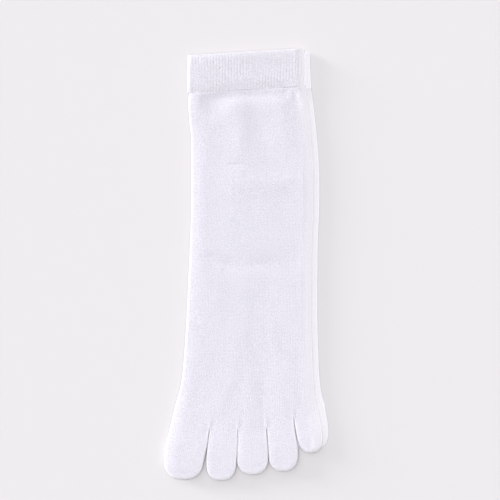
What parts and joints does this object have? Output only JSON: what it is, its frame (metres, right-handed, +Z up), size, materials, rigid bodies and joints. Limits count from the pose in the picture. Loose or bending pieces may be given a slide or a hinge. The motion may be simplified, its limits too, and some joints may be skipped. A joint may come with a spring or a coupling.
{
  "type": "pair of toe socks",
  "caption": "Pair of plain knitted toe socks with ribbed cuffs, heel pockets and separate toe pockets, laid flat one on the other, sole to sole.",
  "frame": {"origin": "on the surface that the pair lies on, in the middle of the ground it covers", "axes": "+Z up, +Y along the socks from the toes to the cuffs, +X across them from the upper sock's big toe to its little toe"},
  "size_m": [0.1242, 0.3294, 0.0077],
  "materials": {
    "sock_knit": "fine plain knit of bluish white cotton, matt with a slight nap",
    "cuff_rib": "dense elastic rib knit of the same yarn, matt and a little greyer"
  },
  "bodies": {
    "root": {"lower_cuff": "cuff_rib", "lower_leg_and_foot": "sock_knit", "lower_heel_pocket": "sock_knit", "lower_big_toe": "sock_knit", "lower_second_toe": "sock_knit", "lower_third_toe": "sock_knit", "lower_fourth_toe": "sock_knit", "lower_little_toe": "sock_knit", "upper_cuff": "cuff_rib", "upper_leg_and_foot": "sock_knit", "upper_heel_pocket": "sock_knit", "upper_big_toe": "sock_knit", "upper_second_toe": "sock_knit", "upper_third_toe": "sock_knit", "upper_fourth_toe": "sock_knit", "upper_little_toe": "sock_knit"}
  },
  "joints": []
}
